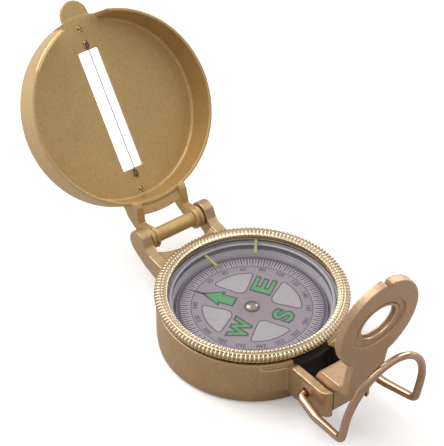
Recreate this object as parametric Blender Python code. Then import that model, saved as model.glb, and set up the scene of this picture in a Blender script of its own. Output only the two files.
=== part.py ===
"""A folding sighting compass with its lid open: case, capsule, turning bezel, eyepiece and thumb loop.

The base stands on Z = 0 with the dial's centre on the Z axis. The lid hinges at +Y and the eyepiece at
-Y, both about X. Lengths below are in millimetres, and MM turns them into metres.
"""

import math

import bmesh
import bpy
from mathutils import Matrix, Vector

MM = 0.001
ROUND_STEPS = 72  # sides of the large turned parts
SMALL_STEPS = 24  # sides of pins, holes and knuckles
CLEARANCE = 0.3

# Case
CASE_R = 25.7
CASE_TOP = 13.7
CASE_FLOOR = 1.8
CASE_BORE_R = 23.4
BEZEL_SEAT_R = 24.6
BEZEL_SEAT_Z = 9.0
GROOVE_R = 25.1
GROOVE_Z = (11.35, 12.25)
PAD_R = 26.7  # raised pad that the front arms grow from
PAD_HALF_ANGLE = 31.5
PAD_Z = (4.7, 12.7)
REAR_PAD_R = 29.5

# Capsule and card
CUP_R = CASE_BORE_R - CLEARANCE
CUP_BORE_R = 21.2
CUP_TOP = 14.0
WINDOW_R = 22.3
CARD_R = 20.4
CARD_Z = 10.1
CARD_THICKNESS = 0.4
CARD_NORTH_DEG = 32.0  # how far the card's north lies to the left of +Y at rest

# Bezel
BEZEL_R = 26.2
BEZEL_LOW = 14.1
BEZEL_LIP_R = 25.0  # plain ring under the knurled band
BEZEL_BAND = (15.35, 16.3)
BEZEL_TOP = 16.8
GLASS_R = 23.4
GLASS_Z = (15.3, 16.15)

# Lid and its hinge
LID_HINGE_Y = 36.2
LID_HINGE_Z = 13.5
LID_OPEN_DEG = 127.0
LID_R = 27.5
LID_RIM_BORE_R = 26.6
LID_RIM_LOW = 14.8
LID_FLOOR = 23.6
LID_TOP = 24.9
SLOT_HALF = (3.3, 17.7)
TAB_HALF_WIDTH = 4.3
TAB_TIP = 32.4
NOTCH_X = (-8.6, 5.95)  # opening in the rim that the eyepiece's neck passes through
STEP_ANGLE = 48.5  # the thinned stretch of rim ends here, beside the notch
STEP_R = 27.05
STEP_Z = 16.1
LID_ARM_X = (6.2, 8.6)
LID_ARM_R = 2.7  # rounded end of the arm, inside the disc's groove
LID_DISC_R = 3.2
LID_DISC_GROOVE = (7.05, 7.7)
BARREL_R = 2.1
PIN_R = 1.0
WEB_R = 30.5
WIRE_R = 0.18
ANCHOR_Y = (19.8, 24.1)  # the two staked points beyond each end of the slot

# Rear lugs of the case
LUG_X = (9.0, 12.2)
LUG_R = 3.8

# Front bracket and eyepiece
ARM_X = (5.6, 8.0)
ARM_FRONT = 41.2
ARM_CORNER = (2.4, 3.1)  # how the outer front corner is rounded in plan, across and along
EYE_HINGE_Y = -36.4
EYE_HINGE_Z = 11.6
EYE_HALF_WIDTH = ARM_X[0] - CLEARANCE
EYE_LEAN_DEG = 9.0
EYE_FRONT = 45.1  # the plate's front face at EYE_FRONT_Z
EYE_FRONT_Z = 13.2
EYE_THICKNESS = 2.4
OVAL_HALF = (11.9, 14.75)
OVAL_V = 29.5  # centre of the oval, along the leaning plate from EYE_FRONT_Z
LENS_V = 29.7
RECESS_R = 8.05
POCKET_R = 6.4
PEEP_R = 5.2

# Thumb loop, a bent wire
LOOP_WIRE_R = 1.0
LOOP_PIVOT = (33.3, 10.4)  # distance forward, and height
LOOP_ELBOW = (10.9, 40.9, 9.4)
LOOP_CORNER = (12.1, 52.2, 11.7)
LOOP_LEAN_DEG = 9.0
LOOP_HEIGHT = 24.1
LOOP_STRAIGHT = 6.9


def material(name, colour, roughness, metallic, alpha=1.0):
    mat = bpy.data.materials.new(name)
    mat.use_nodes = True
    shader = mat.node_tree.nodes["Principled BSDF"]
    shader.inputs["Base Color"].default_value = (*colour, 1.0)
    shader.inputs["Roughness"].default_value = roughness
    shader.inputs["Metallic"].default_value = metallic
    shader.inputs["Alpha"].default_value = alpha
    return mat


def make_object(name, bm, mat=None):
    """Turns a mesh drawn in millimetres into an object in metres."""
    bmesh.ops.recalc_face_normals(bm, faces=bm.faces)
    bmesh.ops.scale(bm, vec=(MM, MM, MM), verts=bm.verts)
    mesh = bpy.data.meshes.new(name)
    bm.to_mesh(mesh)
    bm.free()
    mesh.shade_smooth()
    mesh.set_sharp_from_angle(angle=math.radians(35))
    obj = bpy.data.objects.new(name, mesh)
    bpy.context.scene.collection.objects.link(obj)
    if mat:
        mesh.materials.append(mat)
    else:
        obj.hide_render = True
        obj.display_type = "WIRE"
    return obj


def combine(target, tool, operation):
    """Adds a Boolean of the hidden helper object to the target."""
    modifier = target.modifiers.new(f"{operation.lower()} {tool.name}", "BOOLEAN")
    modifier.operation = operation
    modifier.solver = "EXACT"
    modifier.object = tool


def add_turned(bm, profile, steps=ROUND_STEPS, centre=(0.0, 0.0)):
    """Revolves a closed profile of (radius, z) about the vertical through the centre."""
    rings = []
    for radius, z in profile:
        count = steps if radius > 0 else 1
        turns = [2 * math.pi * i / steps for i in range(count)]
        spots = [(centre[0] + radius * math.cos(t), centre[1] + radius * math.sin(t), z) for t in turns]
        rings.append([bm.verts.new(spot) for spot in spots])
    for ring, after in zip(rings, rings[1:] + rings[:1]):
        for i in range(steps):
            j = i + 1
            corners = [ring[i % len(ring)], ring[j % len(ring)], after[j % len(after)], after[i % len(after)]]
            corners = list(dict.fromkeys(corners))
            if len(corners) > 2:
                bm.faces.new(corners)


def turned(name, profile, mat=None, steps=ROUND_STEPS, centre=(0.0, 0.0)):
    bm = bmesh.new()
    add_turned(bm, profile, steps, centre)
    return make_object(name, bm, mat)


def ring_profile(inner, outer, low, high):
    return [(inner, low), (outer, low), (outer, high), (inner, high)]


def prism(name, outline, span, axis, mat=None):
    """Extrudes an outline along X, Y or Z. The outline gives the other two coordinates, in that order."""
    place = {
        "X": lambda a, b, c: (c, a, b),
        "Y": lambda a, b, c: (a, c, b),
        "Z": lambda a, b, c: (a, b, c),
    }[axis]
    bm = bmesh.new()
    ends = [[bm.verts.new(place(a, b, c)) for a, b in outline] for c in span]
    for end in ends:
        bm.faces.new(end)
    for i in range(len(outline)):
        j = (i + 1) % len(outline)
        bm.faces.new((ends[0][i], ends[0][j], ends[1][j], ends[1][i]))
    return make_object(name, bm, mat)


def rod(name, radius, span, y, z, mat=None):
    """A cylinder along X."""
    return prism(name, arc((y, z), radius, 0, 360, SMALL_STEPS)[:-1], span, "X", mat)


def turned_along_x(name, profile, y, z):
    """Revolves a closed profile of (radius, x) about a line along X."""
    obj = turned(name, profile, None, SMALL_STEPS)
    obj.data.transform(Matrix.Translation((0, y * MM, z * MM)) @ Matrix.Rotation(math.radians(90), 4, "Y"))
    return obj


def arc(centre, radius, start_deg, end_deg, steps):
    """Points along an arc, both ends included. The radius may be a pair for an ellipse."""
    across, along = radius if isinstance(radius, tuple) else (radius, radius)
    angles = [math.radians(start_deg + (end_deg - start_deg) * i / steps) for i in range(steps + 1)]
    return [(centre[0] + across * math.cos(a), centre[1] + along * math.sin(a)) for a in angles]


def mirrored(points):
    """The points followed by their mirror images across the second axis, in reverse order."""
    return points + [(-a, b) for a, b in reversed(points)]


def with_tools(obj):
    """The object and every helper that its Booleans use."""
    found = [obj]
    for modifier in obj.modifiers:
        found += with_tools(modifier.object)
    return found


def pivot(name, y, z, angle_deg, *pieces):
    """Parents the pieces to an empty on a joint's axis, then turns the empty about X."""
    empty = bpy.data.objects.new(name, None)
    empty.empty_display_size = 5 * MM
    empty.location = (0, y * MM, z * MM)
    bpy.context.scene.collection.objects.link(empty)
    for piece in pieces:
        for obj in with_tools(piece):
            obj.parent = empty
            obj.matrix_parent_inverse = Matrix.Translation((0, -y * MM, -z * MM))
    empty.rotation_euler.x = math.radians(angle_deg)
    return empty


# ---------------------------------------------------------------- case


def case_bore():
    """The stepped hollow that takes the capsule and the bezel's skirt."""
    low, high = GROOVE_Z
    above = CASE_TOP + 5
    return turned(
        "case_bore_cutter",
        [
            (0, CASE_FLOOR),
            (CASE_BORE_R, CASE_FLOOR),
            (CASE_BORE_R, BEZEL_SEAT_Z),
            (BEZEL_SEAT_R, BEZEL_SEAT_Z),
            (BEZEL_SEAT_R, low),
            (GROOVE_R, low),
            (GROOVE_R, high),
            (BEZEL_SEAT_R, high),
            (BEZEL_SEAT_R, above),
            (0, above),
        ],
    )


def rear_lug(side):
    """One of the two lugs that hold the lid's hinge pin, with its sloping foot on the case."""
    hinge = (LID_HINGE_Y, LID_HINGE_Z)
    foot = [(20.0, 12.6), (20.0, 5.6), (26.5, 6.4), (32.6, 7.6)]
    knuckle = arc(hinge, LUG_R, -75, 125, 12)
    neck = [(32.6, 14.0), (30.8, 12.9), (27.0, 12.6)]
    span = [side * x for x in LUG_X]
    return prism(f"lug_{'right' if side > 0 else 'left'}_tool", foot + knuckle + neck, span, "X")


def hinge_pad():
    """The curved pad on the case between the rear lugs, with a rounded upper edge."""
    turn = math.degrees(math.asin((LUG_X[0] + 0.6) / REAR_PAD_R))
    profile = [(20.0, 5.0), (REAR_PAD_R - 0.5, 5.0), (REAR_PAD_R, 5.6), (REAR_PAD_R, 11.7), (REAR_PAD_R - 0.6, 12.3)]
    pad = turned("hinge_pad_tool", profile + [(20.0, 12.3)])
    edge = arc((0, 0), REAR_PAD_R + 2, 90 - turn, 90 + turn, 4)
    combine(pad, prism("hinge_pad_sector", [(0.0, 0.0)] + edge, (0.0, 20.0), "Z"), "INTERSECT")
    outer = LUG_X[0] + 0.6
    for side in (-1, 1):
        fillet = [(outer, 20.0), (outer, 32.9), (8.6, 31.5), (7.0, 30.4), (5.0, 29.7), (2.5, 29.2), (0.5, 20.0)]
        name = f"hinge_pad_fillet_{'right' if side > 0 else 'left'}"
        combine(pad, prism(name, [(side * x, y) for x, y in fillet], (5.3, 12.25), "Z"), "UNION")
    return pad


def front_arm(side):
    """One arm of the front bracket: its side outline cut to a plan with a rounded outer corner."""
    label = "right" if side > 0 else "left"
    inner, outer = ARM_X
    top = [(-20.0, 12.6), (-25.4, 12.8), (-27.4, 14.0), (-32.5, 14.4), (-38.3, 14.7), (-ARM_FRONT - 1, 15.6)]
    bottom = [(-ARM_FRONT - 1, 6.9), (-38.0, 6.4), (-33.0, 4.9), (-28.0, 4.2), (-20.0, 4.2)]
    arm = prism(f"arm_{label}_tool", top + bottom, (side * inner, side * outer), "X")
    corner = arc((outer - ARM_CORNER[0] + 0.05, -ARM_FRONT + ARM_CORNER[1]), ARM_CORNER, 0, -90, 8)
    corner = [(min(across, outer), along) for across, along in corner]
    plan = [(inner - 1, -15.0), (outer + 1, -15.0), (outer + 1, -26.0), (outer + 0.3, -26.7), (outer, -27.8)] + corner
    plan += [(inner - 1, -ARM_FRONT)]
    shape = prism(f"arm_{label}_plan", [(side * x, y) for x, y in plan], (0.0, 20.0), "Z")
    combine(arm, shape, "INTERSECT")
    return arm


def loop_boss(side):
    """The small boss round the hole that the thumb loop's wire turns in."""
    forward, height = LOOP_PIVOT
    span = (side * (ARM_X[1] - 1.0), side * (ARM_X[1] + 0.3))
    return rod(f"boss_{'right' if side > 0 else 'left'}_tool", 2.3, span, -forward, height)


def front_pad():
    """The shallow raised pad round the front of the case."""
    turn = PAD_HALF_ANGLE
    edge = arc((0, 0), PAD_R, -90 - turn, -90 + turn, 18)
    ends = [arc((0, 0), CASE_R - 0.3, -90 + way * (turn + 3), 0, 1)[0] for way in (1, -1)]
    return prism("front_pad_tool", edge + [ends[0], (0.0, -10.0), ends[1]], PAD_Z, "Z")


def case_body(gold):
    wall = [(0, 0), (24.9, 0), (25.4, 0.5), (CASE_R, 3.0), (CASE_R, CASE_TOP - 0.4)]
    wall += [(CASE_R - 0.4, CASE_TOP), (0, CASE_TOP)]
    body = turned("case_body", wall, gold)
    combine(body, front_pad(), "UNION")
    combine(body, hinge_pad(), "UNION")
    for side in (-1, 1):
        combine(body, rear_lug(side), "UNION")
        combine(body, front_arm(side), "UNION")
        combine(body, loop_boss(side), "UNION")
    combine(body, case_bore(), "DIFFERENCE")
    hole = PIN_R + CLEARANCE
    pin_span = (-LUG_X[1] + 0.8, LUG_X[1] + 1)
    combine(body, rod("lid_pin_cutter", hole, pin_span, LID_HINGE_Y, LID_HINGE_Z), "DIFFERENCE")
    eye_span = (-ARM_X[1] + 0.6, ARM_X[1] - 0.6)
    combine(body, rod("eye_pin_cutter", hole, eye_span, EYE_HINGE_Y, EYE_HINGE_Z), "DIFFERENCE")
    forward, height = LOOP_PIVOT
    for side in (-1, 1):
        span = (side * (ARM_X[0] - 1), side * (ARM_X[1] + 2))
        name = f"loop_hole_{'right' if side > 0 else 'left'}_cutter"
        combine(body, rod(name, LOOP_WIRE_R + CLEARANCE, span, -forward, height), "DIFFERENCE")
    return body


def hinge_pins(steel):
    rod("lid_hinge_pin", PIN_R, (-LUG_X[1] + 1.1, LUG_X[1]), LID_HINGE_Y, LID_HINGE_Z, steel)
    rod("eyepiece_hinge_pin", PIN_R, (-ARM_X[1] + 0.9, ARM_X[1] - 0.9), EYE_HINGE_Y, EYE_HINGE_Z, steel)


# ---------------------------------------------------------------- capsule


def capsule(liner, steel, glass, rubber, glow):
    """The fixed capsule: a cup with a pivot in its floor, closed by a sealed window."""
    low = CASE_FLOOR + CLEARANCE
    ledge = 12.1
    mouth_r = WINDOW_R + CLEARANCE
    turned(
        "capsule_cup",
        [
            (1.1, low),
            (CUP_R, low),
            (CUP_R, CUP_TOP),
            (mouth_r, CUP_TOP),
            (mouth_r, ledge),
            (CUP_BORE_R, ledge),
            (CUP_BORE_R, low + 1.2),
            (3.2, low + 1.2),
            (2.6, low + 2.6),
            (1.1, low + 2.6),
        ],
        liner,
    )
    turned(
        "pivot_pin",
        [(0, low), (0.8, low), (0.8, 7.1), (0.5, 8.1), (0.12, 9.0), (0, 9.0)],
        steel,
        SMALL_STEPS,
    )
    turned("capsule_gasket", ring_profile(21.5, WINDOW_R, 12.3, 12.65), rubber)
    turned("capsule_window", [(0, 12.85), (WINDOW_R, 12.85), (WINDOW_R, 13.45), (0, 13.45)], glass)
    turned("window_retaining_ring", ring_profile(21.5, WINDOW_R, 13.65, CUP_TOP), liner)
    prism("fixed_index_line", [(-0.4, 15.8), (0.4, 15.8), (0.4, 21.2), (-0.4, 21.2)], (13.65, 13.9), "Z", glow)


# ---------------------------------------------------------------- card


def card_assembly(card, steel, brass):
    """The turning card: a disc with a bar magnet under it, and the jewel cup on the pivot."""
    top = CARD_Z + CARD_THICKNESS
    turned("compass_card", ring_profile(1.0, CARD_R, CARD_Z, top), card)
    magnet_low, magnet_high = 8.5, CARD_Z - 0.25
    magnet = prism(
        "bar_magnet",
        mirrored([(2.4, -14.0), (2.4, 14.0)]),
        (magnet_low, magnet_high),
        "Z",
        steel,
    )
    jewel_hole = turned("magnet_hole_cutter", [(0, 8.0), (1.6, 8.0), (1.6, 12.0), (0, 12.0)], None, SMALL_STEPS)
    combine(magnet, jewel_hole, "DIFFERENCE")
    turned(
        "jewel_cup",
        [(0, 9.6), (0.55, 9.0), (0.7, 8.1), (1.35, 8.1), (1.35, 9.8), (0.7, 9.85), (0.7, 10.8), (0, 10.8)],
        brass,
        SMALL_STEPS,
    )
    dome = [(x, z) for x, z in arc((0, top + 0.15), (1.9, 0.85), 0, 90, 5)][:-1]
    turned(
        "hub_cap",
        [(0.95, top + 0.15)] + dome + [(0, top + 1.0), (0, top + 0.6), (0.95, top + 0.6)],
        brass,
        SMALL_STEPS,
    )
    magnet.rotation_euler.z = math.radians(CARD_NORTH_DEG)


# ---------------------------------------------------------------- bezel


def bezel(gold, steel, glass, rubber, glow):
    """The turning ring with its glass, held down by a snap ring in the case's groove."""
    skirt = (CASE_BORE_R, BEZEL_SEAT_R - CLEARANCE)
    turned(
        "bezel_ring",
        [
            (skirt[0], 9.9),
            (skirt[1], 9.9),
            (skirt[1], 11.2),
            (skirt[1] - 0.4, 11.2),
            (skirt[1] - 0.4, 12.4),
            (skirt[1], 12.4),
            (skirt[1], BEZEL_LOW),
            (BEZEL_LIP_R, BEZEL_LOW),
            (BEZEL_LIP_R, BEZEL_BAND[0] - 0.15),
            (BEZEL_R, BEZEL_BAND[0]),
            (BEZEL_R, BEZEL_BAND[1]),
            (BEZEL_R - 0.95, BEZEL_TOP - 0.07),
            (BEZEL_R - 1.4, BEZEL_TOP),
            (GLASS_R + CLEARANCE, BEZEL_TOP),
            (GLASS_R + CLEARANCE, 15.0),
            (22.9, 15.0),
            (22.9, 14.6),
            (skirt[0], 14.6),
        ],
        gold,
    )
    turned("bezel_snap_ring", ring_profile(24.1, 24.9, 11.5, 12.1), steel)
    turned("bezel_wave_spring", ring_profile(23.7, 24.3, 9.2, 9.6), steel)
    turned("bezel_glass", [(0, GLASS_Z[0]), (GLASS_R, GLASS_Z[0]), (GLASS_R, GLASS_Z[1]), (0, GLASS_Z[1])], glass)
    turned("glass_retaining_ring", ring_profile(22.8, GLASS_R, 16.35, BEZEL_TOP - 0.2), gold)
    line = prism("bezel_index_line", [(-0.4, 16.6), (0.4, 16.6), (0.4, 22.4), (-0.4, 22.4)], (14.75, 15.1), "Z", glow)
    line.rotation_euler.z = math.radians(-40)


# ---------------------------------------------------------------- lid


def lid_arm(side):
    """An arm from the lid's rim to the hinge, drawn as distance behind the axis and height over it."""
    end = arc((0, 0), LID_ARM_R, -165, 60, 14)
    body = [(-4.4, 5.9), (-7.0, 7.1), (-10.2, 7.4), (-10.2, 0.6), (-8.7, 0.5), (-4.2, 2.4)]
    # the outline runs from the rounded end over the arm's back, along the rim and down its front
    outline = [(LID_HINGE_Y + y, LID_HINGE_Z + z) for y, z in end + body]
    name = f"lid_arm_{'right' if side > 0 else 'left'}_tool"
    return prism(name, outline, [side * x for x in LID_ARM_X], "X")


def lid_barrel():
    """The barrel between the arms, with a grooved disc at each end."""
    near, far = LID_ARM_X
    low, high = LID_DISC_GROOVE
    half = [(BARREL_R, near + 0.05), (LID_DISC_R, near + 0.05), (LID_DISC_R, low), (LID_ARM_R - 0.1, low)]
    half += [(LID_ARM_R - 0.1, high), (LID_DISC_R, high), (LID_DISC_R, far + 0.05)]
    ends = [(0, far + 0.05), (0, -far - 0.05)]
    profile = half + ends + [(r, -x) for r, x in reversed(half)]
    return turned_along_x("lid_barrel_tool", profile, LID_HINGE_Y, LID_HINGE_Z)


def lid_web():
    """The plate between the arms, concentric with the lid."""
    turn = 14.0
    outer = arc((0, 0), WEB_R, 90 - turn, 90 + turn, 6)
    inner = arc((0, 0), LID_R - 0.5, 90 + turn, 90 - turn, 6)
    return prism("lid_web_tool", outer + inner, (15.1, 17.2), "Z")


def lid_tab():
    """The rounded thumb tab in the lid's plane."""
    tip = arc((0, -TAB_TIP + TAB_HALF_WIDTH), TAB_HALF_WIDTH, 0, -180, 10)
    outline = [(TAB_HALF_WIDTH, -24.0)] + tip + [(-TAB_HALF_WIDTH, -24.0)]
    return prism("lid_tab_tool", outline, (LID_FLOOR + 0.05, LID_TOP - 0.05), "Z")


def rim_step():
    """Thins the rim's edge from outside, from the notch to the step on its -X side."""
    start = math.degrees(math.asin((-NOTCH_X[0] - 1) / LID_R))
    far = arc((0, 0), 32.0, -90 - start, -90 - STEP_ANGLE, 12)
    near = arc((0, 0), STEP_R, -90 - STEP_ANGLE, -90 - start, 12)
    return prism("rim_step_cutter", far + near, (10.0, STEP_Z), "Z")


def lid(gold, steel):
    shell = turned(
        "lid_shell",
        [
            (LID_R, LID_RIM_LOW),
            (LID_R, LID_TOP - 1.2),
            (LID_R - 0.35, LID_TOP - 0.4),
            (LID_R - 1.2, LID_TOP),
            (0, LID_TOP),
            (0, LID_FLOOR),
            (25.3, LID_FLOOR),
            (25.75, LID_FLOOR - 0.25),
            (26.0, LID_FLOOR - 0.8),
            (LID_RIM_BORE_R, 17.4),
            (LID_RIM_BORE_R, LID_RIM_LOW),
        ],
        gold,
    )
    combine(shell, lid_web(), "UNION")
    combine(shell, lid_tab(), "UNION")
    for side in (-1, 1):
        combine(shell, lid_arm(side), "UNION")
    combine(shell, lid_barrel(), "UNION")
    pin_span = (-LID_ARM_X[1] - 1, LID_ARM_X[1] + 1)
    bore = rod("lid_barrel_cutter", PIN_R + CLEARANCE, pin_span, LID_HINGE_Y, LID_HINGE_Z)
    combine(shell, bore, "DIFFERENCE")
    slot = mirrored([(SLOT_HALF[0], -SLOT_HALF[1]), (SLOT_HALF[0], SLOT_HALF[1])])
    combine(shell, prism("slot_cutter", slot, (20.0, 30.0), "Z"), "DIFFERENCE")
    left, right = NOTCH_X
    notch = [(left, -32.0), (right, -32.0), (right, -24.0), (left, -24.0)]
    combine(shell, prism("notch_cutter", notch, (10.0, LID_FLOOR - 0.03), "Z"), "DIFFERENCE")
    combine(shell, rim_step(), "DIFFERENCE")
    rivets = wire_anchors(shell, steel)
    span = ANCHOR_Y[0] - 1.1
    wire_z = LID_FLOOR - 0.35
    outline = arc((0, wire_z), WIRE_R, 0, 360, 8)[:-1]
    wire = prism("sighting_wire", outline, (-span, span), "Y", steel)
    pivot("lid_hinge", LID_HINGE_Y, LID_HINGE_Z, -LID_OPEN_DEG, shell, wire, *rivets)


def wire_anchors(shell, steel):
    """Headed studs through the lid: clamps at the wire's ends and rivets beyond them."""
    anchors = []
    for label, distance in zip(("clamp", "rivet"), ANCHOR_Y):
        for end, way in (("front", -1), ("rear", 1)):
            centre = (0.0, way * distance)
            stud = [(0, LID_FLOOR - 0.5), (0.85, LID_FLOOR - 0.5), (0.85, LID_FLOOR - 0.2)]
            stud += [(0.5, LID_FLOOR - 0.2), (0.5, LID_TOP), (0, LID_TOP)]
            name = f"wire_{label}_{end}"
            anchors.append(turned(name, stud, steel, 14, centre))
            hole = [(0, 20.0), (0.75, 20.0), (0.75, 30.0), (0, 30.0)]
            combine(shell, turned(f"{name}_cutter", hole, None, 14, centre), "DIFFERENCE")
    return anchors


# ---------------------------------------------------------------- eyepiece


def plate_point(v, depth=0.0):
    """(forward, z) of a point v along the leaning plate and this deep behind its front face."""
    lean = math.radians(EYE_LEAN_DEG)
    forward = EYE_FRONT + v * math.sin(lean) - depth * math.cos(lean)
    return forward, EYE_FRONT_Z + v * math.cos(lean) + depth * math.sin(lean)


def eyepiece_foot():
    """The knuckle between the arms, the leg over their front ends and the plate's foot."""
    knuckle = [(41.0, 8.6), (40.4, 8.0), (34.2, 8.0), (33.4, 8.8), (33.2, 14.2), (34.4, 17.0), (35.6, 17.7)]
    back = EYE_THICKNESS - 0.05
    inner = [plate_point(4.9, back + 1.0), plate_point(6.0, back), plate_point(9.0, back)]
    outer = [plate_point(9.0, 0.05), plate_point(5.6, 0.05), plate_point(4.2, 0.45)]
    outer += [plate_point(3.2, 1.3), plate_point(2.5, 2.6)]
    outline = knuckle + inner + outer + [(41.0, 15.5)]
    return [(-forward, z) for forward, z in outline]


def plate_outline():
    """The plate's front view: straight neck, oval, and a V notch at the top."""
    across, along = OVAL_HALF
    neck = EYE_HALF_WIDTH + 0.2
    start = -math.degrees(math.acos(neck / across))
    oval = arc((0, OVAL_V), OVAL_HALF, start, 86, 22)
    notch = [(0.0, OVAL_V + along - 2.2)]
    right = [(neck, 7.5)] + oval
    return right + notch + [(-x, v) for x, v in reversed(right)]


def stand_on_plate(obj):
    """Lays an object drawn in (x, v, -depth) onto the leaning plate."""
    forward, height = plate_point(0.0)
    tilt = Matrix.Rotation(math.radians(90 + EYE_LEAN_DEG), 4, "X")
    obj.data.transform(Matrix.Translation((0, -forward * MM, height * MM)) @ tilt)


def on_plate(name, profile, mat=None, steps=48):
    """A turned shape about the lens axis. The profile gives (radius, depth behind the front face)."""
    obj = turned(name, [(r, -depth) for r, depth in profile], mat, steps, (0.0, LENS_V))
    stand_on_plate(obj)
    return obj


def eyepiece(bronze, glass, gold, steel):
    foot = prism("eyepiece_bracket", eyepiece_foot(), (-EYE_HALF_WIDTH, EYE_HALF_WIDTH), "X", bronze)
    plate = prism("eyepiece_plate_tool", plate_outline(), (-EYE_THICKNESS, 0.0), "Z")
    stand_on_plate(plate)
    combine(foot, plate, "UNION")
    depth = EYE_THICKNESS
    stepped = [(0, -1.0), (RECESS_R, -1.0), (RECESS_R, 0.6), (POCKET_R, 0.6), (POCKET_R, 1.9)]
    stepped += [(PEEP_R, 1.9), (PEEP_R, depth + 1), (0, depth + 1)]
    combine(foot, on_plate("peep_hole_cutter", stepped), "DIFFERENCE")
    hole = rod("eyepiece_bore_cutter", PIN_R + CLEARANCE, (-8.0, 8.0), EYE_HINGE_Y, EYE_HINGE_Z)
    combine(foot, hole, "DIFFERENCE")
    rim = POCKET_R - 0.2
    bulge = [(r, d) for r, d in ((rim, 1.75), (rim, 1.35), (4.2, 1.15), (2.1, 1.05), (0, 1.0), (0, 1.75))]
    lens = on_plate("magnifier_lens", bulge, glass)
    ring = on_plate("lens_retaining_ring", [(5.4, 0.62), (rim, 0.62), (rim, 0.95), (5.4, 0.95)], gold)
    pivot("eyepiece_hinge", EYE_HINGE_Y, EYE_HINGE_Z, 0.0, foot, lens, ring)


# ---------------------------------------------------------------- thumb loop


def rounded_route(corners, radius, steps):
    """A route through the corner points, each inner corner replaced by an arc-like curve."""
    route = [corners[0]]
    for before, corner, after in zip(corners, corners[1:], corners[2:]):
        start = corner + (before - corner).normalized() * radius
        end = corner + (after - corner).normalized() * radius
        for i in range(steps + 1):
            t = i / steps
            route.append(start * (1 - t) ** 2 + corner * 2 * t * (1 - t) + end * t**2)
    return route + [corners[-1]]


def loop_route():
    """Centre line of the right half of the wire, from its end in the arm to the middle of the arch."""
    forward, height = LOOP_PIVOT
    elbow, corner = LOOP_ELBOW, LOOP_CORNER
    lean = math.radians(LOOP_LEAN_DEG)
    rise = Vector((0, -math.sin(lean), math.cos(lean)))
    base = Vector((corner[0], -corner[1], corner[2]))
    leg = [
        Vector((ARM_X[0] + 0.5, -forward, height)),
        Vector((10.1, -forward, height)),
        Vector((elbow[0], -elbow[1], elbow[2])),
        base,
        base + rise * LOOP_STRAIGHT,
    ]
    route = rounded_route(leg, 1.7, 4)[:-1]
    curve = LOOP_HEIGHT - LOOP_STRAIGHT
    for i in range(15):
        turn = math.pi / 2 * i / 14
        middle = Vector((0, base.y, base.z))
        across = Vector((corner[0] * math.cos(turn), 0, 0))
        route.append(middle + across + rise * (LOOP_STRAIGHT + curve * math.sin(turn)))
    return route


def thumb_loop(copper):
    right = loop_route()
    points = right + [Vector((-p.x, p.y, p.z)) for p in reversed(right[:-1])]
    curve = bpy.data.curves.new("thumb_loop", "CURVE")
    curve.dimensions = "3D"
    curve.bevel_depth = LOOP_WIRE_R * MM
    curve.bevel_resolution = 2
    curve.use_fill_caps = True
    spline = curve.splines.new("POLY")
    spline.points.add(len(points) - 1)
    for point, spot in zip(spline.points, points):
        point.co = (*(spot * MM), 1.0)
    curve.materials.append(copper)
    loop = bpy.data.objects.new("thumb_loop", curve)
    bpy.context.scene.collection.objects.link(loop)
    pivot("thumb_loop_hinge", -LOOP_PIVOT[0], LOOP_PIVOT[1], 0.0, loop)


def clear_scene():
    for obj in list(bpy.data.objects):
        bpy.data.objects.remove(obj, do_unlink=True)


def build():
    clear_scene()
    gold = material("satin_gold_paint", (0.45, 0.33, 0.14), 0.38, 0.8)
    bronze = material("dull_gold_paint", (0.33, 0.22, 0.14), 0.45, 0.7)
    copper = material("copper_wire", (0.72, 0.42, 0.28), 0.2, 1.0)
    steel = material("steel", (0.55, 0.55, 0.56), 0.3, 1.0)
    brass = material("brass", (0.60, 0.46, 0.22), 0.3, 1.0)
    liner = material("pale_liner", (0.55, 0.54, 0.56), 0.5, 0.0)
    card = material("lilac_card", (0.42, 0.37, 0.44), 0.6, 0.0)
    glass = material("clear_glass", (0.95, 0.97, 0.98), 0.02, 0.0, 0.25)
    rubber = material("black_rubber", (0.03, 0.03, 0.03), 0.8, 0.0)
    glow = material("luminous_line", (0.62, 0.75, 0.25), 0.5, 0.0)
    case_body(gold)
    hinge_pins(steel)
    capsule(liner, steel, glass, rubber, glow)
    card_assembly(card, steel, brass)
    bezel(gold, steel, glass, rubber, glow)
    lid(gold, steel)
    eyepiece(bronze, glass, gold, steel)
    thumb_loop(copper)


build()
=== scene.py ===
"""Looks for the folding sighting compass: rounded metal, knurled bezel, printed card, glass, wire, light.

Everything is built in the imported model's frame, in metres: the base on Z = 0, the dial's centre on the Z
axis, the lid hinge at +Y and the eyepiece at -Y. MM turns millimetres into metres.
"""

import math

import bmesh
import bpy
import numpy as np
from mathutils import Matrix, Vector


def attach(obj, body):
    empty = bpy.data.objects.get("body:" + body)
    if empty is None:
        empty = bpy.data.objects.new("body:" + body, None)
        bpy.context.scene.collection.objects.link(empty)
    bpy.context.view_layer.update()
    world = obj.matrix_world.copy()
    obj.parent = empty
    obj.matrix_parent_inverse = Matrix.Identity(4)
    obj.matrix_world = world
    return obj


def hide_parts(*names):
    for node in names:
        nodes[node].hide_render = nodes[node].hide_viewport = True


MM = 0.001
FULL = 2 * math.pi

CAMERA_AZIMUTH = -37.01
CAMERA_ELEVATION = 40.494
CAMERA_ROLL = 0.662
CAMERA_AIM = (-8.281, 23.091, 9.55)  # right of, above and up from the dial's centre, in mm
CAMERA_DISTANCE = 487.04
CAMERA_LENS = 146.56
CAMERA_SENSOR = 36.0

# Places and sizes in mm, as in the CAD.
LID_HINGE = Vector((0, 36.2, 13.5))
LID_OPEN_DEG = 127.0
POCKET_HALF_WIDTH = 5.75
POCKET_FRONT = -24.0

NORTH_DEG = 32.0
CARD_RADIUS = 20.4
CARD_TOP = 10.5
PRINT_LOW = CARD_TOP - 0.05  # print starts inside the card, so it never floats
TICKS = 144
NUMBERS = 18
NUMBER_HEIGHT = 1.3

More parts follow.
